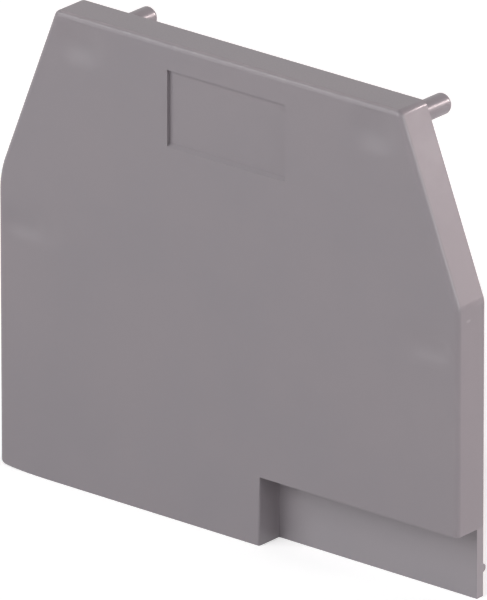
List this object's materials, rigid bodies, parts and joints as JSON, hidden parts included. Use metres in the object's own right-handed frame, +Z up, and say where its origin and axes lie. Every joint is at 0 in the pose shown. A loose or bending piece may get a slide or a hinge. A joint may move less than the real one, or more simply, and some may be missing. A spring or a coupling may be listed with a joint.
{
  "type": "terminal block end cover",
  "caption": "Flat plastic end cover for a row of rail-mounted terminal blocks, with sloping shoulders, a marking recess, a stepped foot and plug-in pegs.",
  "frame": {"origin": "on the back face, midway between the two peg axes", "axes": "+X along the width, towards the side with the stepped foot; +Y out of the back face, along the pegs; +Z up, from the foot to the top edge"},
  "size_m": [0.04, 0.0075, 0.0343],
  "materials": {
    "cover_plastic": "satin moulded polyamide, mid grey"
  },
  "bodies": {
    "root": {"end_cover": "cover_plastic"}
  },
  "joints": []
}
